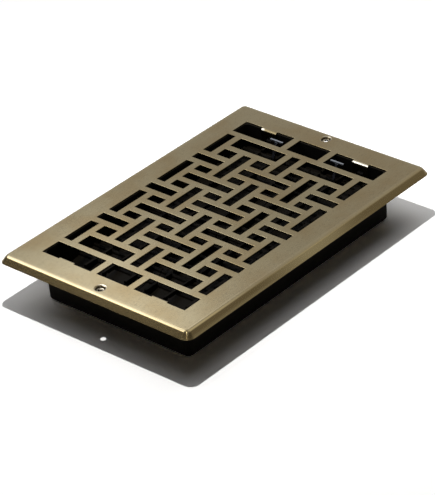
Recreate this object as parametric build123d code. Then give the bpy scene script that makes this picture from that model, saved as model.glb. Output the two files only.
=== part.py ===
from build123d import *
from math import asin, atan, cos, degrees, radians, sin, tan
import os

# Floor register for a 6 x 10 inch duct: a pressed lattice face over a moulded damper box with two banks of
# louvers. Millimetres. X runs across the face, Y along it, Z up. The origin is at the middle of the box's
# underside.

# Lattice of the face: slots, the bars between them, and the rows towards both ends
SLOT_WIDTH = 8.2
SHORT_SLOT = 13.7
LENGTHWISE_BAR = 6.4
CROSS_BAR = 6.1
TALL_ROW = 11.0
WIDE_ROW = 14.2
END_ROW = 18.5
MIDDLE_WINDOW = 32.0

# Face plate: sheet, margins round the lattice and the bevelled rim
SHEET = 1.2
SIDE_MARGIN = 20.6
END_MARGIN = 20.6
RIM_RUN = 4.4
RIM_DROP = 5.8
RIM_CORNER = 7.5
CREASE_RADIUS = 3.4

# Screw dimples in the two end margins
SCREW_OFFSET = 13.2
SCREW_HOLE = 4.6
DIMPLE_WIDTH = 10.6
DIMPLE_SLOPE = 62.0
DIMPLE_LAND = 0.1
DIMPLE_ROUND = 1.9
DIMPLE_FOOT = 1.0

# Tabs bent down from the end windows' outer edges, with a punched window for the box's snap lug
TAB_WIDTH = 15.5
TAB_PLACE = 48.0
TAB_FLAT = 0.8
TAB_BEND = 1.0
TAB_LENGTH = 13.0
TAB_HOLE_WIDTH = 6.0
TAB_HOLE_HEIGHT = 4.0
TAB_HOLE_DROP = 6.5

# Damper box
DROP = 37.5
WALL = 1.8
DRAFT = 0.8
BOX_CORNER = 5.0
FLANGE = 1.2
FLANGE_THICK = 1.6
FOOT_LIP = 5.0
FOOT_ROUND = 2.2
SIDE_STEP = 0.7
TAB_GAP = 0.4
LUG_WIDTH = 5.4
LUG_HEIGHT = 2.6
LUG_PROUD = 0.4
LUG_PLAY = 0.15

# Louvers and the rails that carry them
LOUVER_PITCH = 16.6
AXIS_DROP = 20.3
BARREL_RADIUS = 2.0
BLADE_THICK = 1.4
BLADE_LAP = 1.0
SWING = 66.0
RAIL_PLACES = (10.55, 52.75)
RAIL_THICK = 2.4
RAIL_RISE = 4.0
RAIL_DEPTH = 6.0
BEARING_MOUTH = 3.4
BEARING_LIP = 1.2
MIDDLE_GAP = 0.4
FAR_AXIS_GAP = 6.9
LEDGE_THICK = 1.6
RIB_THICK = 2.0
RIB_RISE = 1.9
RIB_DEPTH = 0.5

# Link bars, the louvers' crank tongues and the thumb levers
LINK_PLACE = 31.65
LINK_THICK = 1.8
LINK_HEIGHT = 3.4
LINK_END = 3.2
NOTCH_ROOF = 0.65
TONGUE_THICK = 1.4
TONGUE_TIP = 0.5
TONGUE_TAPER = 0.3
LEVER_SHEET = 1.2
LEVER_LEAN = 24.0
LEVER_WIDTH = 13.0
LEVER_HEAD = 1.6
LEVER_PROUD = 0.4
STEM_WIDTH = 2.6
STEM_FOOT = 0.8
SOCKET_PLACE = 3.2
SOCKET_WALL = 1.2
SOCKET_RISE = 4.5

# Clearances
RUNNING = 0.06
SIDE_CLEARANCE = 0.4
LIFT_CLEARANCE = 0.3
TIP_CLEARANCE = 1.0


def spans(sizes, gap):
    """Low and high ends of sizes laid side by side, a gap apart, centred on zero."""
    start = -(sum(sizes) + gap * (len(sizes) - 1)) / 2
    ends = []
    for size in sizes:
        ends.append((start, start + size))
        start += size + gap
    return ends


# Lattice columns from left to right and rows from the near end to the far end
COLUMNS = spans([SLOT_WIDTH, SHORT_SLOT] * 4 + [SLOT_WIDTH], LENGTHWISE_BAR)
END_ROWS = [END_ROW, WIDE_ROW, TALL_ROW]
ROWS = spans(END_ROWS + [SLOT_WIDTH] * 9 + END_ROWS[::-1], CROSS_BAR)
LATTICE_X = COLUMNS[-1][1]
LATTICE_Y = ROWS[-1][1]

# Levels
RIM_Z = DROP
TOP_Z = RIM_Z + RIM_DROP
UNDER_Z = TOP_Z - SHEET
AXIS_Z = UNDER_Z - AXIS_DROP

# Face plate sizes
FACE_WIDTH = 2 * (LATTICE_X + SIDE_MARGIN + RIM_RUN)
FACE_LENGTH = 2 * (LATTICE_Y + END_MARGIN + RIM_RUN)
RIM_SLOPE = degrees(atan(RIM_RUN / RIM_DROP))
RIM_WALL = SHEET / cos(radians(RIM_SLOPE))

# Screw dimple: where its sloping wall would meet the face and the foot, if both bends were sharp
DIMPLE_BEND = tan(radians(DIMPLE_SLOPE / 2))
DIMPLE_BRIM = DIMPLE_WIDTH / 2 - DIMPLE_ROUND * DIMPLE_BEND
DIMPLE_BASE = SCREW_HOLE / 2 + DIMPLE_FOOT * DIMPLE_BEND + DIMPLE_LAND
DIMPLE_DEPTH = (DIMPLE_BRIM - DIMPLE_BASE) * tan(radians(DIMPLE_SLOPE))
DIMPLE_EDGE = DIMPLE_WIDTH / 2 + DIMPLE_LAND

# Box sizes inside its walls at the top, and how far the walls have drawn in at a level
TAB_BACK = LATTICE_Y - TAB_FLAT - TAB_BEND
INSIDE_X = LATTICE_X - SIDE_STEP
INSIDE_Y = TAB_BACK + TAB_GAP


def drawn_in(level):
    return (UNDER_Z - level) * tan(radians(DRAFT))


# Louver rows: the closed blade lies under the next barrel, and the last one under the near ledge
BLADE_REACH = LOUVER_PITCH + BLADE_LAP
DROOP = degrees(asin((BARREL_RADIUS + LIFT_CLEARANCE) / LOUVER_PITCH))
END_WALL_Y = INSIDE_Y - drawn_in(AXIS_Z)
SIDE_WALL_X = INSIDE_X - drawn_in(AXIS_Z)
FAR_AXIS_Y = END_WALL_Y - FAR_AXIS_GAP
NEAREST_AXIS_Y = BLADE_REACH + TIP_CLEARANCE - END_WALL_Y
LOUVER_COUNT = int((FAR_AXIS_Y - NEAREST_AXIS_Y) / LOUVER_PITCH) + 1
AXES_Y = [FAR_AXIS_Y - LOUVER_PITCH * row for row in range(LOUVER_COUNT)]
LOUVER_END = SIDE_WALL_X - 2 * SIDE_CLEARANCE

# Crank tongue: it leans as far before the upright when closed as after it when open, and rocks in the link's
# notch about a point at CRANK_REACH, which keeps the link clear of the barrels
CRANK_LEAN = SWING / 2
CRANK_REACH = (BARREL_RADIUS + LIFT_CLEARANCE + LINK_HEIGHT / 2) / cos(radians(CRANK_LEAN))
CRANK_Y = CRANK_REACH * sin(radians(CRANK_LEAN))
CRANK_Z = CRANK_REACH * cos(radians(CRANK_LEAN))
NOTCH_WAIST = TONGUE_THICK / 2 / cos(radians(CRANK_LEAN)) + RUNNING
NOTCH_FOOT = NOTCH_WAIST + LINK_HEIGHT / 2 * tan(radians(CRANK_LEAN))

# Lever: its stem stands in a socket on the link bar, past the second notch from the far end, and ends inside
# the head, which is folded forward flat
SOCKET_Y = AXES_Y[1] + CRANK_Y + SOCKET_PLACE
SOCKET_Z = AXIS_Z + CRANK_Z
HEAD_Z = TOP_Z + LEVER_PROUD
STEM_TOP = (HEAD_Z - LEVER_SHEET / 2 - SOCKET_Z) / cos(radians(LEVER_LEAN))
HEAD_BACK = SOCKET_Y + STEM_TOP * sin(radians(LEVER_LEAN)) + LEVER_SHEET / 2 / cos(radians(LEVER_LEAN))


def block(low, high):
    """Box between two opposite corners."""
    size = [b - a for a, b in zip(low, high)]
    middle = [(a + b) / 2 for a, b in zip(low, high)]
    return Pos(*middle) * Box(*size)


def across(profile, start, length):
    """Profile drawn on Y and Z, extruded along X from start."""
    return Pos(start, 0, 0) * extrude(Plane.YZ * profile, amount=length)


def four_ways(shape):
    """Shape and its mirror images over both middle planes."""
    pair = [shape, mirror(shape, about=Plane.YZ)]
    return pair + [mirror(each, about=Plane.XZ) for each in pair]


def lattice_openings():
    """Plan of every window and slot as spans in x and y."""
    first, last = COLUMNS[0], COLUMNS[-1]
    short = COLUMNS[1::2]
    half = MIDDLE_WINDOW / 2
    plan = []
    for row in (0, 14):
        for x in ((first[0], -half - LENGTHWISE_BAR), (-half, half), (half + LENGTHWISE_BAR, last[1])):
            plan.append((x, ROWS[row]))
    for row in (1, 5, 9, 13):
        for a, b in ((short[0], short[1]), (short[2], short[3])):
            plan.append(((a[0], b[1]), ROWS[row]))
    for row in (3, 7, 11):
        for a, b in ((first, short[0]), (short[1], short[2]), (short[3], last)):
            plan.append(((a[0], b[1]), ROWS[row]))
    for row in (2, 4, 6, 8, 10, 12):
        plan.extend((x, ROWS[row]) for x in short)
    outer_runs = ((1, 2), (4, 6), (8, 10), (12, 13))
    inner_runs = ((2, 4), (6, 8), (10, 12))
    for columns, runs in (((0, 4, 8), outer_runs), ((2, 6), inner_runs)):
        for column in columns:
            for start, stop in runs:
                plan.append((COLUMNS[column], (ROWS[start][0], ROWS[stop][1])))
    return plan


def opening_sketch():
    shapes = []
    for (x0, x1), (y0, y1) in lattice_openings():
        shapes.append(Pos((x0 + x1) / 2, (y0 + y1) / 2) * Rectangle(x1 - x0, y1 - y0))
    return Sketch() + shapes


def bent_tab():
    """Tab at the far right window: flat root, bend and hanging leg, with its punched window."""
    outer = TAB_BEND + SHEET
    root = LATTICE_Y + SHEET
    edge = LATTICE_Y - TAB_FLAT
    foot = TOP_Z - TAB_LENGTH
    outline = [
        Line((root, TOP_Z), (edge, TOP_Z)),
        CenterArc((edge, TOP_Z - outer), outer, 90, 90),
        Line((edge - outer, TOP_Z - outer), (edge - outer, foot)),
        Line((edge - outer, foot), (edge - TAB_BEND, foot)),
        Line((edge - TAB_BEND, foot), (edge - TAB_BEND, TOP_Z - outer)),
        CenterArc((edge, TOP_Z - outer), TAB_BEND, 180, -90),
        Line((edge, UNDER_Z), (root, UNDER_Z)),
        Line((root, UNDER_Z), (root, TOP_Z)),
    ]
    tab = across(make_face(Curve() + outline), TAB_PLACE - TAB_WIDTH / 2, TAB_WIDTH)
    hole_z = TOP_Z - TAB_HOLE_DROP - TAB_HOLE_HEIGHT / 2
    hole = Pos(TAB_PLACE, TAB_BACK, hole_z) * Box(TAB_HOLE_WIDTH, 4 * SHEET, TAB_HOLE_HEIGHT)
    return tab - hole


def screw_dimple():
    """Ring of sheet drawn down to the screw hole about the Z axis, rounded at its brim and its foot."""
    hole = SCREW_HOLE / 2
    brim = (DIMPLE_BRIM, TOP_Z)
    base = (DIMPLE_BASE, TOP_Z - DIMPLE_DEPTH)
    outline = [
        (DIMPLE_EDGE, TOP_Z),
        brim,
        base,
        (hole, TOP_Z - DIMPLE_DEPTH),
        (hole, UNDER_Z - DIMPLE_DEPTH),
        (DIMPLE_BASE + SHEET * DIMPLE_BEND, UNDER_Z - DIMPLE_DEPTH),
        (DIMPLE_BRIM + SHEET * DIMPLE_BEND, UNDER_Z),
        (DIMPLE_EDGE, UNDER_Z),
    ]
    section = make_face(Polyline(*outline, close=True))
    for corner, radius in ((brim, DIMPLE_ROUND), (base, DIMPLE_FOOT)):
        section = fillet(section.vertices().sort_by_distance((*corner, 0))[0], radius)
    return revolve(Plane.XZ * section, Axis.Z)


def face_plate():
    blank = Pos(0, 0, RIM_Z) * extrude(
        RectangleRounded(FACE_WIDTH, FACE_LENGTH, RIM_CORNER), amount=RIM_DROP, taper=RIM_SLOPE
    )
    blank = fillet(blank.edges().group_by(Axis.Z)[-1], CREASE_RADIUS)
    inner_width = FACE_WIDTH - 2 * RIM_WALL
    inner_length = FACE_LENGTH - 2 * RIM_WALL
    hollow = RectangleRounded(inner_width, inner_length, RIM_CORNER - RIM_WALL)
    core = Pos(0, 0, RIM_Z) * extrude(hollow, amount=RIM_DROP - SHEET, taper=RIM_SLOPE)
    plate = blank - fillet(core.edges().group_by(Axis.Z)[-1], CREASE_RADIUS - SHEET)
    plate -= Pos(0, 0, RIM_Z) * extrude(opening_sketch(), amount=2 * RIM_DROP)
    for y in (LATTICE_Y + SCREW_OFFSET, -LATTICE_Y - SCREW_OFFSET):
        plate -= Pos(0, y, UNDER_Z) * Cylinder(DIMPLE_EDGE, 4 * SHEET)
        plate += Pos(0, y, 0) * screw_dimple()
    return plate + four_ways(bent_tab())


def snap_lug():
    """Wedge on the far end wall that reaches through a tab's window: ramp above, flat catch below."""
    catch = TOP_Z - TAB_HOLE_DROP - TAB_HOLE_HEIGHT + LUG_PLAY
    root = INSIDE_Y + WALL / 2
    nose = TAB_BACK - SHEET - LUG_PROUD
    section = [
        (root, catch),
        (nose, catch),
        (nose, catch + LUG_HEIGHT / 3),
        (INSIDE_Y - WALL / 2, catch + LUG_HEIGHT),
        (root, catch + LUG_HEIGHT),
    ]
    return across(make_face(Polyline(*section, close=True)), TAB_PLACE - LUG_WIDTH / 2, LUG_WIDTH)


def tab_relief():
    """Cut in the far end wall's top edge that clears the inside of a tab's bend."""
    half = TAB_WIDTH / 2 + SIDE_CLEARANCE
    low = (TAB_PLACE - half, INSIDE_Y - WALL, UNDER_Z - TAB_BEND)
    return block(low, (TAB_PLACE + half, LATTICE_Y - TAB_FLAT, TOP_Z))


def box_shell():
    """Tapered wall with a flange at the top, a rounded foot and an in-turned lip round the duct mouth."""
    inset = drawn_in(0)
    foot_x = 2 * (INSIDE_X + WALL - inset)
    foot_y = 2 * (INSIDE_Y + WALL - inset)
    outside = extrude(RectangleRounded(foot_x, foot_y, BOX_CORNER), amount=UNDER_Z, taper=-DRAFT)
    outside = fillet(outside.edges().group_by(Axis.Z)[0], FOOT_ROUND)
    brim = WALL + FLANGE
    flange = RectangleRounded(2 * (INSIDE_X + brim), 2 * (INSIDE_Y + brim), BOX_CORNER)
    outside += Pos(0, 0, UNDER_Z - FLANGE_THICK) * extrude(flange, amount=FLANGE_THICK)
    draw = drawn_in(WALL)
    cavity = RectangleRounded(2 * (INSIDE_X - draw), 2 * (INSIDE_Y - draw), BOX_CORNER - WALL)
    mouth = RectangleRounded(foot_x - 2 * FOOT_LIP, foot_y - 2 * FOOT_LIP, BOX_CORNER)
    shell = outside - Pos(0, 0, WALL) * extrude(cavity, amount=UNDER_Z, taper=-DRAFT)
    return shell - extrude(mouth, amount=2 * WALL)


def louver_rails():
    """Four rails along the box with a snap-in bearing at every louver axis."""
    end = END_WALL_Y + WALL / 2
    rails = []
    for place in RAIL_PLACES:
        for x in (-place, place):
            low = (x - RAIL_THICK / 2, -end, AXIS_Z - RAIL_DEPTH)
            high = (x + RAIL_THICK / 2, end, AXIS_Z + RAIL_RISE)
            rails.append(block(low, high))
    seat = BARREL_RADIUS + RUNNING
    mouth = BEARING_MOUTH / 2
    half = [(seat, -seat), (seat, BEARING_LIP), (mouth, BEARING_LIP + seat - mouth), (mouth, 2 * RAIL_RISE)]
    bearing = make_face(Polyline(*half, *[(-y, z) for y, z in reversed(half)], close=True))
    bearings = Sketch() + [Pos(y, AXIS_Z) * bearing for y in AXES_Y]
    reach = max(RAIL_PLACES) + RAIL_THICK
    return Part() + rails - across(bearings, -reach, 2 * reach)


def damper_box():
    box = box_shell() + louver_rails()
    wall_x = SIDE_WALL_X + WALL / 2
    wall_y = END_WALL_Y + WALL / 2
    ledge_z = AXIS_Z - BARREL_RADIUS
    far_edge = FAR_AXIS_Y + BARREL_RADIUS + SIDE_CLEARANCE
    near_edge = AXES_Y[-1] - LOUVER_PITCH
    box += block((-wall_x, far_edge, ledge_z), (wall_x, wall_y, ledge_z + LEDGE_THICK))
    box += block((-wall_x, -wall_y, ledge_z), (wall_x, near_edge, ledge_z + LEDGE_THICK))
    rib_y = AXES_Y[LOUVER_COUNT // 2] + LOUVER_PITCH / 2
    rib_low = (-wall_x, rib_y - RIB_THICK / 2, AXIS_Z - RIB_DEPTH)
    box += block(rib_low, (wall_x, rib_y + RIB_THICK / 2, AXIS_Z + RIB_RISE))
    return box - four_ways(tab_relief()) + four_ways(snap_lug())


def louver():
    """Right-hand louver about its axis: barrel, blade panels between the rails, and the crank tongue."""
    barrel = across(Circle(BARREL_RADIUS), MIDDLE_GAP, LOUVER_END - MIDDLE_GAP)
    edges = [MIDDLE_GAP]
    for place in RAIL_PLACES:
        edges += [place - RAIL_THICK / 2 - SIDE_CLEARANCE, place + RAIL_THICK / 2 + SIDE_CLEARANCE]
    edges.append(LOUVER_END)
    panels = []
    for low, high in zip(edges[::2], edges[1::2]):
        panels.append(block((low, -BLADE_REACH, -BLADE_THICK), (high, 0, 0)))
    blade = Rot(DROOP, 0, 0) * (Part() + panels)
    side = TONGUE_THICK / 2
    half = [(side, 0), (side, CRANK_REACH - TONGUE_TAPER), (side / 2, CRANK_REACH + TONGUE_TIP)]
    outline = make_face(Polyline(*half, *[(-y, z) for y, z in reversed(half)], close=True))
    tongue = Rot(-CRANK_LEAN, 0, 0) * across(outline, LINK_PLACE - LINK_THICK / 2, LINK_THICK)
    return barrel + blade + tongue


def stem_block(width, thickness, low, high):
    """Block on the lever's leaning line, measured up it from the middle of the socket's foot."""
    leaning = Pos(LINK_PLACE, SOCKET_Y, SOCKET_Z) * Rot(-LEVER_LEAN, 0, 0)
    return leaning * block((-width / 2, -thickness / 2, low), (width / 2, thickness / 2, high))


def link_bar():
    """Right-hand link bar: a strip notched over every crank tongue, with a socket for the lever."""
    half_height = LINK_HEIGHT / 2
    half = [(NOTCH_FOOT, -half_height), (NOTCH_WAIST, 0), (NOTCH_WAIST, NOTCH_ROOF)]
    notch = make_face(Polyline(*half, *[(-y, z) for y, z in reversed(half)], close=True))
    notches = Sketch() + [Pos(y + CRANK_Y, SOCKET_Z) * notch for y in AXES_Y]
    length = AXES_Y[0] - AXES_Y[-1] + 2 * LINK_END
    strip = Pos((AXES_Y[0] + AXES_Y[-1]) / 2 + CRANK_Y, SOCKET_Z) * Rectangle(length, LINK_HEIGHT)
    bar = across(strip - notches, LINK_PLACE - LINK_THICK / 2, LINK_THICK)
    wide = STEM_WIDTH + 2 * SOCKET_WALL
    deep = LEVER_SHEET + 2 * SOCKET_WALL
    socket = stem_block(wide, deep, -SOCKET_WALL, SOCKET_RISE)
    below = Pos(LINK_PLACE, SOCKET_Y, SOCKET_Z - SOCKET_RISE) * Box(2 * wide, 4 * deep, 2 * SOCKET_RISE)
    return bar + (socket - below) - lever_stem()


def lever_stem():
    return stem_block(STEM_WIDTH, LEVER_SHEET, STEM_FOOT, STEM_TOP)


def thumb_lever():
    """Right-hand lever: a T cut from strip, its cross bar folded forward flat at the plate's level."""
    low = (LINK_PLACE - LEVER_WIDTH / 2, HEAD_BACK - LEVER_HEAD, HEAD_Z - LEVER_SHEET)
    return lever_stem() + block(low, (LINK_PLACE + LEVER_WIDTH / 2, HEAD_BACK, HEAD_Z))


def both_sides(name, shape):
    return {name.format("right"): shape, name.format("left"): mirror(shape, about=Plane.YZ)}


parts = {"face_plate": face_plate(), "damper_box": damper_box()}
blade = louver()
for number, y in enumerate(AXES_Y, start=1):
    parts.update(both_sides("louver_{}_" + f"{number:02d}", Pos(0, y, AXIS_Z) * blade))
parts.update(both_sides("link_bar_{}", link_bar()))
parts.update(both_sides("thumb_lever_{}", thumb_lever()))

os.makedirs("parts", exist_ok=True)
for name, shape in parts.items():
    export_step(shape, f"parts/{name}.step")

print("face", round(FACE_WIDTH, 2), round(FACE_LENGTH, 2), "height", round(HEAD_Z, 2))
print("louvers in a bank", LOUVER_COUNT, "axis level", round(AXIS_Z, 3), [round(y, 3) for y in AXES_Y])
print("crank point", round(CRANK_Y, 4), round(CRANK_Z, 4), "lever socket", round(SOCKET_Y, 3))
print("screw holes", round(LATTICE_Y + SCREW_OFFSET, 3), "dimple depth", round(DIMPLE_DEPTH, 3))
print("box inside", round(INSIDE_X, 2), round(INSIDE_Y, 2), "lever head back", round(HEAD_BACK, 2))
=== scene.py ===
# %% [markdown]
# # A floor register with a basket-weave face
# The register is a pressed brass-plated face over a black damper box. Its solids come packed, in
# metres, with the underside of the box at height zero, and the scene dresses them. The order is
# the camera, the studio, the finishes, and then the small work that a press leaves on an edge.

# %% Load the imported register
import math

import bpy
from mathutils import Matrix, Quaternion, Vector


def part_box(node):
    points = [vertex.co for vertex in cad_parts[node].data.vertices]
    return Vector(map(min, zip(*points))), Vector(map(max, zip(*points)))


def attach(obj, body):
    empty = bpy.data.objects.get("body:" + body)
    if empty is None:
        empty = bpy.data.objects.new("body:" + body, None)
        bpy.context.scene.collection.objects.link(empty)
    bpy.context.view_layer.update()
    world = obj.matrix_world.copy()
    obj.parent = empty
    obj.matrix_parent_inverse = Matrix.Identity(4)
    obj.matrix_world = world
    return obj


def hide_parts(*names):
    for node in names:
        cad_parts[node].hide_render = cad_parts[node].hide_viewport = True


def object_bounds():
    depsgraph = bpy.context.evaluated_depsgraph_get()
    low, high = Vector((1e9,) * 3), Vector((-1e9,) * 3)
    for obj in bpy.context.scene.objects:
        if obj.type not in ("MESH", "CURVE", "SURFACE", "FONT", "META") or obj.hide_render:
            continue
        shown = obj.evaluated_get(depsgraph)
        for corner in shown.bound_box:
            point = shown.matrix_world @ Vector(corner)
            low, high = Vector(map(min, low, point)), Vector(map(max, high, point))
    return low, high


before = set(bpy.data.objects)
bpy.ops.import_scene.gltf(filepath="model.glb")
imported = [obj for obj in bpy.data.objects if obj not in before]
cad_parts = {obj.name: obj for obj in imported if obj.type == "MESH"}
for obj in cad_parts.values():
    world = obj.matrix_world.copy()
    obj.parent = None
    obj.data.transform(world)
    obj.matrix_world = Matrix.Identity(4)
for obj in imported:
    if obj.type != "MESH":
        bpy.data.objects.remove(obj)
cad_box = [list(corner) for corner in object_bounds()]

# %% [markdown]
# ## Camera
# The photograph was taken from the near right, about two metres away, with a long lens that is
# tilted a little. The lattice is a ruler in the picture, so the place, the gaze and the tilt were
# worked out from its bars. Pointing a camera by a gaze and a roll is easier to read, and to change,
# than three Euler angles.

# %% Point the camera
EYE = Vector((1.2122, -1.2965, 1.1008))
GAZE = Vector((-0.58240, 0.62140, -0.52409))
ROLL = math.radians(-4.78)
FOCAL_PIXELS = 2623.8
PICTURE_HEIGHT = 495
HALF_PIXEL = 0.5 / PICTURE_HEIGHT
VIEW_AXIS = (0, 0, 1)

camera_data = bpy.data.cameras.new("camera")
# The picture is taller than wide, and Blender lays the sensor's width along the longer side.
camera_data.lens = FOCAL_PIXELS * camera_data.sensor_width / PICTURE_HEIGHT
camera_data.shift_x = -HALF_PIXEL
camera_data.shift_y = HALF_PIXEL
camera = bpy.data.objects.new("camera", camera_data)
camera.location = EYE
camera.rotation_mode = "QUATERNION"
camera.rotation_quaternion = GAZE.to_track_quat("-Z", "Y") @ Quaternion(VIEW_AXIS, ROLL)
bpy.context.scene.collection.objects.link(camera)
bpy.context.scene.camera = camera
print("lens:", round(camera_data.lens, 1), "mm")

# %% [markdown]
# ## Shader arithmetic
# A finish is mostly small sums: this mask times that noise, one minus the other. Drawn as nodes
# they fill a screen, so a socket is wrapped in a class that knows plus, minus and times. Every sum
# adds its own Math node. All other nodes come from one method, which sets a node's settings first
# and then fills its sockets.


# %% Wrap a socket
class Wire:
    """A socket of a shader that takes part in plain sums."""

    def __init__(self, finish, socket):
        self.finish = finish
        self.socket = socket

    def sum(self, operation, first, second=0.0):
        return self.finish.node("Math", {"operation": operation}, {0: first, 1: second})

    def __add__(self, other):
        return self.sum("ADD", self, other)

    def __sub__(self, other):
        return self.sum("SUBTRACT", self, other)

    def __rsub__(self, other):
        return self.sum("SUBTRACT", other, self)

    def __mul__(self, other):
        return self.sum("MULTIPLY", self, other)

    __radd__ = __add__
    __rmul__ = __mul__

    def __abs__(self):
        return self.sum("ABSOLUTE", self)

    def over(self, other):
        """The greater of the two."""
        return self.sum("MAXIMUM", self, other)

    def ramp(self, low, high):
        """Nought at low, one at high, and smooth between."""
        settings = {"interpolation_type": "SMOOTHSTEP"}
        return self.finish.node("MapRange", settings, {"Value": self, "From Min": low, "From Max": high})

    def band(self, rise, fall):
        """One from the end of the rise to the start of the fall, and nought outside them."""
        return self.ramp(*rise) * (1 - self.ramp(*fall))


print("sums: + - * abs, over, ramp and band")


# %% Make the nodes of a finish
class Finish:
    """The node tree of a material or of the world."""

    def __init__(self, owner):
        self.owner = owner
        owner.use_nodes = True
        self.tree = owner.node_tree
        self.tree.nodes.clear()

    def node(self, kind, settings=None, sockets=None, out=0):
        """A new node, and the one of its outputs that is wanted."""
        made = self.tree.nodes.new("ShaderNode" + kind)
        for name, value in (settings or {}).items():
            setattr(made, name, value)
        for name, value in (sockets or {}).items():
            if isinstance(value, Wire):
                self.tree.links.new(value.socket, made.inputs[name])
            else:
                made.inputs[name].default_value = value
        return Wire(self, made.outputs[out]) if len(made.outputs) else made

    def place(self):
        """The point on the piece, in metres, and its three numbers."""
        point = self.node("TexCoord", out="Object")
        split = [self.node("SeparateXYZ", None, {0: point}, out) for out in range(3)]
        return [point] + split

    def rays(self):
        """Whether a ray comes from the camera, from a mirror or through glass."""
        kinds = ("Camera", "Glossy", "Transmission")
        return [self.node("LightPath", out=f"Is {kind} Ray") for kind in kinds]

    def noise(self, point, size, detail=2.0):
        """Soft noise; size is that of its grains in metres, one number or three."""
        sizes = size if isinstance(size, tuple) else (size, size, size)
        scale = tuple(1.0 / each for each in sizes)
        spread = self.node("Mapping", {"vector_type": "POINT"}, {"Vector": point, "Scale": scale})
        return self.node("TexNoise", None, {"Vector": spread, "Scale": 1.0, "Detail": detail})

    def mix(self, amount, first, second):
        """From the first colour to the second."""
        # A Mix node has sockets for each type of data under the same names, so they go by number.
        factor, first_colour, second_colour, colour_out = 0, 6, 7, 2
        settings = {"data_type": "RGBA", "blend_type": "MIX"}
        sockets = {factor: amount, first_colour: first, second_colour: second}
        return self.node("Mix", settings, sockets, colour_out)

    def bump(self, height, distance, strength):
        """A normal for a surface that stands up by a distance in metres."""
        return self.node("Bump", None, {"Height": height, "Distance": distance, "Strength": strength})

    def surface(self, **sockets):
        """The shader, with its sockets named as in Blender but for case and spaces."""
        named = {}
        for name, value in sockets.items():
            named[name.replace("_", " ").title().replace("Ior", "IOR")] = value
        shader = self.node("BsdfPrincipled", None, named)
        self.node("OutputMaterial", None, {"Surface": shader})


print("nodes: place, rays, noise, mix, bump and surface")

# %% [markdown]
# ## Paper floor
# The register lies on a white sheet that the photograph overexposes. More light would do that too,
# but it would bleach the register. So the colour of the paper goes above one for the rays that see
# it, straight or in a mirror, while as a source of bounced light it stays plain paper. Far from the
# register it fades to a plain white backdrop, by the square of the distance, which needs no root.

# %% Lay the floor
FLOOR_SIZE = 6.0

bpy.ops.object.select_all(action="DESELECT")
bpy.ops.mesh.primitive_plane_add(size=FLOOR_SIZE, location=(0.0, 0.0, 0.0))
floor = bpy.context.active_object
floor.name = "floor"
print("floor:", floor.dimensions[:])

# %% Make it paper
BLACK, WHITE = (0, 0, 0, 1), (1, 1, 1, 1)
PAPER = (0.8, 0.785, 0.76, 1)
PAPER_SEEN = (1.303, 1.293, 1.276, 1)
PAPER_FIBRE = (1.330, 1.320, 1.303, 1)
BACKDROP_FADE = (0.07, 0.3)

paper = Finish(bpy.data.materials.new("white_paper"))
point, x, y, _ = paper.place()
camera_ray, glossy_ray, clear_ray = paper.rays()
bounced = paper.node("LightPath", out="Diffuse Depth").ramp(0.0, 1.0)
seen = camera_ray.over(glossy_ray).over(clear_ray) * (1 - bounced)
distant = (x * x + y * y).ramp(*BACKDROP_FADE) * seen
white = paper.mix(paper.noise(point, size=0.004, detail=3.0), PAPER_SEEN, PAPER_FIBRE)
sheet = paper.mix(distant, paper.mix(seen, PAPER, white), BLACK)
backdrop = paper.mix(distant, BLACK, WHITE)
paper.surface(base_color=sheet, roughness=0.9, specular_ior_level=0.1,
              emission_color=backdrop, emission_strength=1.0)
floor.data.materials.append(paper.owner)
print("paper nodes:", len(paper.tree.nodes))

# %% [markdown]
# ## Room
# Brass shows its surroundings more than its own colour, so the room is what the face is made of. It
# has a bright wall at the far left, which the flat face mirrors, then a dark band, which the near
# slope mirrors, and a plain grey behind the camera. A picture of a room would do the same, but one
# direction and two ramps can be tuned. Little of it lights the shadows; the lamps do that.

# %% Fill the room
ROOM_BRIGHT_SIDE = Vector((-0.35, 0.62, 0.70)).normalized()
ROOM_BEHIND, ROOM_BAND, ROOM_BRIGHT = 0.45, 0.08, 1.04
TO_BAND, TO_BRIGHT = (-0.3, 0.3), (0.05, 0.9)
ROOM_FILL = 0.044

room = Finish(bpy.data.worlds.new("room"))
bpy.context.scene.world = room.owner
direction = room.node("TexCoord", out="Generated")
facing = room.node("VectorMath", {"operation": "DOT_PRODUCT"}, {0: direction, 1: ROOM_BRIGHT_SIDE}, "Value")
dark_side = ROOM_BEHIND + facing.ramp(*TO_BAND) * (ROOM_BAND - ROOM_BEHIND)
walls = dark_side + facing.ramp(*TO_BRIGHT) * (ROOM_BRIGHT - ROOM_BAND)
camera_ray, glossy_ray, clear_ray = room.rays()
mirror_ray = glossy_ray.over(clear_ray)
level = walls * (ROOM_FILL + mirror_ray * (1 - ROOM_FILL))
strength = camera_ray + level * (1 - camera_ray)
glow = room.node("Background", None, {"Color": WHITE, "Strength": strength})
room.node("OutputWorld", None, {"Surface": glow})
print("room: behind", ROOM_BEHIND, "band", ROOM_BAND, "bright wall", ROOM_BRIGHT)

# %% [markdown]
# ## Lamps
# The lamps have separate jobs. A small one almost overhead lights the paper and draws the sharp
# shadow, and two soft fills, one at the left and one at the far side, set how deep that shadow is.
# They are not mirrored. Five panels are only mirrored: their ends lie so that the near margin, its
# crease and the corner nearest to the camera shine, and a faint one lets that shine fade into the
# plain tone of the rest of the face.

# %% Make a lamp
DOWN = (0, 0, -1)
PLAIN = (1, 1, 1)


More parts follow.
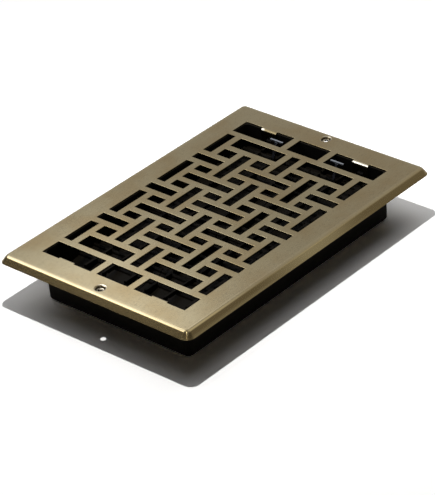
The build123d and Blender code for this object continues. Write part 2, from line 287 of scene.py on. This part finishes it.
def hang(name, place, size, power, length=None, aim=DOWN, turn=0, tint=PLAIN):
    """A disc, or with a length a rectangle, that shines along aim."""
    data = bpy.data.lights.new(name, "AREA")
    data.shape = "RECTANGLE" if length else "DISK"
    data.size = size
    data.size_y = length or size
    data.energy = power
    data.color = tint
    lamp = bpy.data.objects.new(name, data)
    lamp.location = place
    lamp.rotation_mode = "QUATERNION"
    spin = Quaternion(VIEW_AXIS, math.radians(turn))
    lamp.rotation_quaternion = Vector(aim).to_track_quat("-Z", "Y") @ spin
    bpy.context.scene.collection.objects.link(lamp)
    print("lamp:", name, "at", [round(part, 4) for part in place], power, "W")
    return lamp


# %% Hang the lamps that light
OVERHEAD_PLACE = Vector((-0.057, 0.012, 1.39))
LEFT_PLACE = Vector((-0.52, -0.05, 0.62))
FAR_PLACE = Vector((0.03, 0.38, 0.52))

lighting = [
    hang("overhead_lamp", OVERHEAD_PLACE, size=0.03, power=12.6),
    hang("left_fill", LEFT_PLACE, size=0.66, power=1.48, aim=-LEFT_PLACE),
    hang("far_fill", FAR_PLACE, size=0.50, power=1.19, aim=-FAR_PLACE),
]
for lamp in lighting:
    lamp.visible_glossy = False

# %% Hang the panels that are mirrored
COOL = (0.92, 0.97, 1.08)
PANEL_HEIGHT = 0.343
CORNER_PLACE = (0.37, -0.60, 0.77)
CORNER_AIM = (-0.27, 0.45, -0.73)
FLAT_PANELS = [
    # name, places across and along, width, length, watts and degrees of turn
    ("fade_panel", -0.295, 0.2835, 0.23, 0.103, 0.036, -15),
    ("far_panel", -0.3097, 0.1141, 0.25, 0.235, 0.46, -15),
    ("near_panel", -0.27, -0.1155, 0.34, 0.231, 1.02, 0),
    ("crease_panel", -0.297, -0.356, 0.30, 0.25, 1.9, 0),
]

mirrored = []
for name, across, along, width, length, power, turn in FLAT_PANELS:
    place = (across, along, PANEL_HEIGHT)
    mirrored.append(hang(name, place, width, power, length, turn=turn, tint=COOL))
mirrored.append(hang("corner_panel", CORNER_PLACE, size=0.10, power=0.8, length=0.30, aim=CORNER_AIM))
for lamp in mirrored:
    lamp.visible_diffuse = False

# %% [markdown]
# ## Antique brass
# The face is pressed steel with brushed brass plating under lacquer, toned down to an old bronze.
# Painting one brass colour would look like plastic. What sells it is the fine brushing along the
# length, a slow drift between greenish and brown brass, and dark freckles in the toning. All of it
# hangs on the piece's own coordinates, so it stays with the plate.


# %% Read a colour
def colour(red, green, blue):
    """A colour as a picture shows it, from 0 to 255, made linear by the sRGB curve."""
    shares = [part / 255 for part in (red, green, blue)]
    linear = [s / 12.92 if s <= 0.04045 else ((s + 0.055) / 1.055) ** 2.4 for s in shares]
    return (*linear, 1.0)


print("middle grey, made linear:", colour(128, 128, 128))

# %% Brush and tone the brass
BRASS = colour(120, 109, 82)
BRASS_BROWN = colour(113, 97, 65)
BRASS_DARK = colour(84, 73, 49)
BRASS_WORN_AND_SHEEN = colour(148, 135, 106)
BROWN_DRIFT, FRECKLED = (0.35, 0.7), (0.5, 0.8)
FRECKLE_SHARE, STREAK_SHARE = 0.4, 0.12

brass = Finish(bpy.data.materials.new("antique_brass"))
point, x, y, z = brass.place()
drift = brass.noise(point, size=0.035, detail=4.0)
freckles = brass.noise(point, size=(0.0011, 0.0024, 0.0011))
streaks = brass.noise(point, size=(0.0022, 0.12, 0.0022), detail=3.0)
brushing = brass.noise(point, size=(0.00035, 0.03, 0.00035))
tone = brass.mix(drift.ramp(*BROWN_DRIFT), BRASS, BRASS_BROWN)
tone = brass.mix(freckles.ramp(*FRECKLED) * FRECKLE_SHARE, tone, BRASS_DARK)
tone = brass.mix(streaks * STREAK_SHARE, tone, BRASS_WORN_AND_SHEEN)
print("brass nodes for the toning:", len(brass.tree.nodes))

# %% [markdown]
# ## Painted light on the rim
# A painted highlight makes a paler line along the crease of the rim, and the slope below it is
# browner. The right slope gets painted sheen at its middle and at its low edge, and a painted
# highlight line along the crease near the corner. Each is a mask made of plain sums on the
# coordinates, which is easier to place than a painted map. Distances are in metres, and below
# nought inside the outer edge.

# %% Paint a highlight along the crease and brown the slope
HALF_WIDTH, HALF_LENGTH = cad_box[1][0], cad_box[1][1]
BRASS_SLOPE = colour(124, 107, 72)
CREASE_RUN, CREASE_BLEND = 0.0044, 0.001
CREASE_HIGHLIGHT_WIDTH, CREASE_HIGHLIGHT_SHARE = 0.004, 0.4

rim = (abs(x) - HALF_WIDTH).over(abs(y) - HALF_LENGTH)
slope = rim.ramp(-CREASE_RUN, CREASE_BLEND - CREASE_RUN)
# Painted highlight: a paler band on the flat just inside the crease. The slope is mixed towards a browner
# brass.
crease = rim.ramp(-CREASE_RUN - CREASE_HIGHLIGHT_WIDTH, -CREASE_RUN) * (1 - slope)
tone = brass.mix(slope, tone, BRASS_SLOPE)
tone = brass.mix(crease * CREASE_HIGHLIGHT_SHARE, tone, BRASS_WORN_AND_SHEEN)
print("crease:", CREASE_RUN, "m inside the edge")

# %% Paint sheen and a highlight line on the right slope
BRASS_PAINTED_SHEEN = colour(170, 153, 111)
RIGHT_SIDE = (0.090, 0.092)
SHEEN_REACH = 0.075
LOW_EDGE, LOW_EDGE_FADE, LOW_EDGE_SHARE = (-0.0022, -0.0003), (0.03, 0.09), 0.5
LINE_RISE, LINE_FALL = (-0.0056, -0.0046), (-0.0040, -0.0034)
LINE_FADE, LINE_SHARE = (-0.13, -0.06), 0.8

# Painted sheen: the right slope is paled at its middle and at its low edge, and a painted highlight line
# runs along the crease near the near corner.
right_side = x.ramp(*RIGHT_SIDE)
middle_sheen = 1 - abs(y).ramp(0.0, SHEEN_REACH)
low_edge = rim.ramp(*LOW_EDGE) * (1 - y.ramp(*LOW_EDGE_FADE)) * LOW_EDGE_SHARE
line = rim.band(LINE_RISE, LINE_FALL) * (1 - y.ramp(*LINE_FADE)) * LINE_SHARE
tone = brass.mix(right_side * slope * middle_sheen.over(low_edge), tone, BRASS_PAINTED_SHEEN)
tone = brass.mix(right_side * line, tone, BRASS_PAINTED_SHEEN)
print("brass nodes with the rim:", len(brass.tree.nodes))

# %% [markdown]
# ## Painted light on the pressed details
# The bends of the far tabs get painted shade, and a painted highlight along all of the right one
# and at one end of the left one. The brims and feet of the screw dimples get painted highlights,
# mostly at their far sides, and their walls get painted shade. A dimple is round, so its masks go
# by the square of the distance from the hole.

# %% Paint shade and highlights on the bends of the far tabs
BRASS_HIGHLIGHT = colour(172, 163, 144)
BEND_ALONG = ((0.1188, 0.1198), (0.1225, 0.1230))
BEND_UP = ((0.0405, 0.0415), (0.04315, 0.0433))
BEND_ENDS = (0.058, 0.060)
LEFT_HIGHLIGHT_END, RIGHT_HIGHLIGHT_START = (-0.054, -0.052), (0.026, 0.028)
BEND_SHADE_SHARE = 0.7

bend = y.band(*BEND_ALONG) * z.band(*BEND_UP) * (1 - abs(x).ramp(*BEND_ENDS))
bend_highlight = (1 - x.ramp(*LEFT_HIGHLIGHT_END)).over(x.ramp(*RIGHT_HIGHLIGHT_START))
# Painted shade over the bends, then a painted highlight over all of the right bend and the left end of the
# left one.
tone = brass.mix(bend * BEND_SHADE_SHARE, tone, BRASS_DARK)
tone = brass.mix(bend * bend_highlight, tone, BRASS_HIGHLIGHT)
print("brass nodes with the bends:", len(brass.tree.nodes))

# %% Measure from the screw holes
SCREW_PLACE = 0.1365
MIDDLE = (-0.01, 0.01)

from_hole = abs(y) - SCREW_PLACE
square = x * x + from_hole * from_hole
sign_of_y = y.ramp(*MIDDLE) * 2 - 1
far_of_hole = from_hole * sign_of_y
print("screw holes:", SCREW_PLACE, "m from the middle")


# %% Paint shade and highlights on the screw dimples
def squares(radii):
    """The squares of distances from the hole."""
    return [radius ** 2 for radius in radii]


BRASS_DIMPLE_SHADE = colour(48, 41, 27)
FOOT_END, WALL_END = (0.0026, 0.0031), (0.0034, 0.0041)
BRIM_RISE, BRIM_FALL = (0.0038, 0.0043), (0.0048, 0.0053)
BRIM_FAR, BRIM_SHARE, BRIM_FAR_MORE = (0.0, 0.004), 0.1, 0.8
FOOT_FAR, FOOT_SHARE, FOOT_FAR_MORE = (-0.001, 0.001), 0.3, 0.7
WALL_SHADE_SHARE = 0.9

brim = square.band(squares(BRIM_RISE), squares(BRIM_FALL))
inside_wall = 1 - square.ramp(*squares(WALL_END))
foot = 1 - square.ramp(*squares(FOOT_END))
# Painted highlights on the brims and feet, stronger on the far side of each hole, and painted shade on the
# walls.
brim_highlight = brim * (BRIM_SHARE + far_of_hole.ramp(*BRIM_FAR) * BRIM_FAR_MORE)
foot_highlight = foot * (FOOT_SHARE + far_of_hole.ramp(*FOOT_FAR) * FOOT_FAR_MORE)
tone = brass.mix(brim_highlight, tone, BRASS_HIGHLIGHT)
tone = brass.mix(inside_wall * WALL_SHADE_SHARE, tone, BRASS_DIMPLE_SHADE)
tone = brass.mix(foot_highlight, tone, BRASS_HIGHLIGHT)
print("brass nodes with the dimples:", len(brass.tree.nodes))

# %% Lay the tone on
BRASS_ROUGHNESS, BRUSHED_ROUGHNESS = 0.17, 0.08

gloss = BRASS_ROUGHNESS + brushing * BRUSHED_ROUGHNESS
grain = brass.bump(brushing, distance=0.00002, strength=0.15)
brass.surface(base_color=tone, metallic=1.0, roughness=gloss, normal=grain)
print("brass nodes:", len(brass.tree.nodes))

# %% [markdown]
# ## Black moulding
# The box, the louvers and the link bars are injection moulded in black plastic with the fine matt
# skin of an eroded mould. Black is still a colour with a texture: a tiny bump breaks up every
# highlight, and a slow variation in roughness shows where the melt flowed.

# %% Mix the moulding
MOULDING_DEEP = colour(15, 13, 9)
MOULDING_PALE = colour(22, 19, 15)
MOULDING_ROUGHNESS, FLOW_ROUGHNESS = 0.52, 0.16

moulding = Finish(bpy.data.materials.new("black_moulding"))
point = moulding.place()[0]
flow = moulding.noise(point, size=(0.03, 0.06, 0.02))
shade = moulding.mix(flow, MOULDING_DEEP, MOULDING_PALE)
skin = moulding.bump(moulding.noise(point, size=0.0006), distance=0.00006, strength=0.4)
matt = MOULDING_ROUGHNESS + flow * FLOW_ROUGHNESS
moulding.surface(base_color=shade, roughness=matt, specular_ior_level=0.04, normal=skin)
print("moulding nodes:", len(moulding.tree.nodes))

# %% [markdown]
# ## Zinc
# The thumb levers are bent from zinc-plated steel strip, pale and a little cloudy, and their stems
# get painted shade below the face. Zinc shows a faint spangle, so a pattern of small cells varies
# its gloss.

# %% Mix the zinc
ZINC = colour(118, 122, 128)
ZINC_CLOUD = colour(134, 138, 143)
ZINC_STEM_SHADE = colour(34, 34, 36)
STEM_SHADE_LEVEL = (0.0418, 0.0430)
SPANGLE_SCALE = 700.0
ZINC_ROUGHNESS, SPANGLE_ROUGHNESS = 0.32, 0.2

zinc = Finish(bpy.data.materials.new("zinc_plate"))
point, _, _, z = zinc.place()
spangle = zinc.node("TexVoronoi", None, {"Vector": point, "Scale": SPANGLE_SCALE}, "Distance")
clouded = zinc.mix(zinc.noise(point, size=0.003), ZINC, ZINC_CLOUD)
# Painted shade: the stems are darkened below the face.
stem_shaded = zinc.mix(z.ramp(*STEM_SHADE_LEVEL), ZINC_STEM_SHADE, clouded)
zinc.surface(base_color=stem_shaded, metallic=1.0, roughness=ZINC_ROUGHNESS + spangle * SPANGLE_ROUGHNESS)
print("zinc nodes:", len(zinc.tree.nodes))

# %% [markdown]
# ## Dressing the solids
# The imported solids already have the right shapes, so most only change their finish. The slots of a
# node are overwritten, and its mesh is left alone.


# %% Put the finishes on
def finish_for(name):
    """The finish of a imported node, by its name."""
    if name == "face_plate":
        return brass
    return zinc if name.startswith("thumb_lever") else moulding


for name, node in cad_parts.items():
    node.data.materials.clear()
    node.data.materials.append(finish_for(name).owner)
print("dressed:", len(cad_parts))

# %% [markdown]
# ## Rolled edges
# A punch pulls the sheet down a little as it enters, so the upper edge of every slot is round and
# the lower one is sharp. That thin round edge catches the light, and it tells pressed metal from a
# cut board. The sharp edges at the level of the face are picked in code, with no face selected that
# would bring its lower edges along, and bevelled on a merged copy of the plate. Slivers that the
# bevel leaves in tight corners are dissolved, and weighted normals keep the wide flats flat beside
# the narrow rounds.

# %% Copy and merge the plate
MERGE_DISTANCE = 0.000001
FLAT_ANGLE = math.radians(0.5)

bpy.ops.object.select_all(action="DESELECT")
rolled = bpy.data.objects.new("rolled_plate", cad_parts["face_plate"].data.copy())
bpy.context.scene.collection.objects.link(rolled)
bpy.context.view_layer.objects.active = rolled
rolled.select_set(True)
plate = rolled.data
bpy.ops.mesh.customdata_custom_splitnormals_clear()
bpy.ops.object.mode_set(mode="EDIT")
bpy.ops.mesh.select_mode(type="EDGE")
bpy.ops.mesh.select_all(action="SELECT")
bpy.ops.mesh.remove_doubles(threshold=MERGE_DISTANCE)
bpy.ops.mesh.dissolve_limited(angle_limit=FLAT_ANGLE)
bpy.ops.object.mode_set(mode="OBJECT")
print("merged plate faces:", len(plate.polygons))

# %% Pick the punched edges
FACE_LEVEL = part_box("face_plate")[1][2]
LEVEL_SLACK = 0.00001
SHARP_ANGLE = math.radians(60)

bpy.ops.object.mode_set(mode="EDIT")
bpy.ops.mesh.select_all(action="DESELECT")
bpy.ops.mesh.edges_select_sharp(sharpness=SHARP_ANGLE)
bpy.ops.object.mode_set(mode="OBJECT")
for face in plate.polygons:
    face.select = False
for edge in plate.edges:
    lowest = min(plate.vertices[end].co.z for end in edge.vertices)
    edge.select = edge.select and lowest > FACE_LEVEL - LEVEL_SLACK
print("edges to roll:", sum(edge.select for edge in plate.edges))

# %% Bevel them and even out the shading
EDGE_ROUND, EDGE_STEPS = 0.0003, 3
SLIVER = 0.000005
SMOOTH_ANGLE = math.radians(35)

bpy.ops.object.mode_set(mode="EDIT")
bpy.ops.mesh.bevel(offset=EDGE_ROUND, segments=EDGE_STEPS, affect="EDGES")
bpy.ops.mesh.select_all(action="SELECT")
bpy.ops.mesh.dissolve_degenerate(threshold=SLIVER)
bpy.ops.mesh.remove_doubles(threshold=SLIVER)
bpy.ops.object.mode_set(mode="OBJECT")
bpy.ops.object.shade_smooth_by_angle(angle=SMOOTH_ANGLE)
bpy.ops.object.modifier_add(type="WEIGHTED_NORMAL")
rolled.modifiers[0].keep_sharp = True
bpy.ops.object.modifier_apply(modifier=rolled.modifiers[0].name)
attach(rolled, "housing")
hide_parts("face_plate")
print("rolled plate faces:", len(plate.polygons))

# %% [markdown]
# ## Picture
# The Standard view keeps colours as they are written.

# %% Finish
bpy.context.scene.view_settings.view_transform = "Standard"
